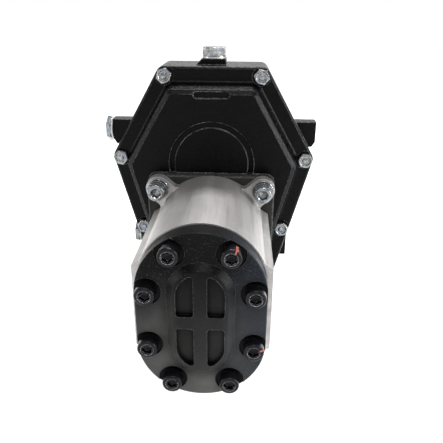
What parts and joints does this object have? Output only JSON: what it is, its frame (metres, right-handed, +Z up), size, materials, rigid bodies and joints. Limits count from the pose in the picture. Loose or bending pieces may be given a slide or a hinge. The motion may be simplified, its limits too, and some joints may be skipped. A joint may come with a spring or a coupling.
{
  "type": "gear pump with speed-increasing gearbox",
  "caption": "Hydraulic gear pump bolted to a tractor-driven speed-increasing gearbox, with a splined input hub and turning gear train.",
  "frame": {"origin": "input axis where it meets the rear face of the gearbox, the centre of the rear bracket pattern", "axes": "+Y towards the tractor along the input axis, +Z up, +X to the right as seen from the pump end"},
  "size_m": [0.2128, 0.264, 0.2804],
  "materials": {
    "gearbox_paint": "gloss black enamel on cast iron",
    "end_cover_finish": "black phosphate, satin",
    "pump_aluminium": "raw extruded aluminium, faint lengthwise streaks",
    "zinc_plate": "bright zinc plate",
    "black_oxide": "black oxide",
    "machined_steel": "ground and oiled",
    "soft_aluminium": "plain",
    "bearing_bronze": "sintered bronze",
    "seal_rubber": "matt",
    "gasket_paper": "oiled fibre"
  },
  "bodies": {
    "gearbox_and_pump": {"gearbox_housing": "gearbox_paint", "gearbox_cover": "gearbox_paint", "pump_end_cover": "end_cover_finish", "pump_body": "pump_aluminium", "rear_bearing_block": "pump_aluminium", "front_bearing_block": "pump_aluminium", "end_cover_bolts": "black_oxide", "cover_gasket": "gasket_paper", "filler_washer": "soft_aluminium", "level_washer": "soft_aluminium", "drain_washer": "soft_aluminium", "shaft_bushes": "bearing_bronze", "end_cover_seal": "seal_rubber", "pilot_o_ring": "seal_rubber", "shaft_seal": "seal_rubber", "hub_oil_seal": "seal_rubber", "cover_bolts": "zinc_plate", "flange_bolts": "zinc_plate", "flat_washers": "zinc_plate", "spring_washers": "zinc_plate", "filler_plug": "zinc_plate", "level_plug": "zinc_plate", "drain_plug": "zinc_plate", "dowel_pins": "machined_steel", "seal_circlip": "machined_steel", "hub_rear_bearing_outer_ring": "machined_steel", "hub_front_bearing_outer_ring": "machined_steel", "pinion_rear_bearing_outer_ring": "machined_steel", "pinion_front_bearing_outer_ring": "machined_steel"},
    "input": {"input_hub": "machined_steel", "wheel_key": "machined_steel", "input_gear": "machined_steel", "gear_spacer": "machined_steel", "hub_rear_bearing_inner_ring": "machined_steel", "hub_front_bearing_inner_ring": "machined_steel"},
    "hub_ball_sets": {"hub_rear_bearing_balls": "machined_steel", "hub_front_bearing_balls": "machined_steel"},
    "pinion_shaft": {"pinion": "machined_steel", "pinion_rear_bearing_inner_ring": "machined_steel", "pinion_front_bearing_inner_ring": "machined_steel", "drive_gear_shaft": "machined_steel"},
    "pinion_ball_sets": {"pinion_rear_bearing_balls": "machined_steel", "pinion_front_bearing_balls": "machined_steel"},
    "driven_shaft": {"driven_gear_shaft": "machined_steel"}
  },
  "joints": [
    {"name": "input_spin", "type": "hinge", "parent": "gearbox_and_pump", "child": "input", "pos_m": [0, -0.05, 0], "axis": [0, 1, 0], "continuous": true},
    {"name": "hub_ball_spin", "type": "hinge", "parent": "gearbox_and_pump", "child": "hub_ball_sets", "pos_m": [0, -0.05, 0], "axis": [0, 1, 0], "continuous": true},
    {"name": "pinion_spin", "type": "hinge", "parent": "gearbox_and_pump", "child": "pinion_shaft", "pos_m": [0, -0.05, -0.1035], "axis": [0, 1, 0], "continuous": true},
    {"name": "pinion_ball_spin", "type": "hinge", "parent": "gearbox_and_pump", "child": "pinion_ball_sets", "pos_m": [0, -0.05, -0.1035], "axis": [0, 1, 0], "continuous": true},
    {"name": "driven_gear_spin", "type": "hinge", "parent": "gearbox_and_pump", "child": "driven_shaft", "pos_m": [0, -0.05, -0.0615], "axis": [0, 1, 0], "continuous": true}
  ],
  "couplings": [
    {"joint": "hub_ball_spin", "follows": "input_spin", "ratio": 0.43077},
    {"joint": "pinion_spin", "follows": "input_spin", "ratio": -3.0588},
    {"joint": "pinion_ball_spin", "follows": "input_spin", "ratio": -1.3028},
    {"joint": "driven_gear_spin", "follows": "input_spin", "ratio": 3.0588}
  ]
}
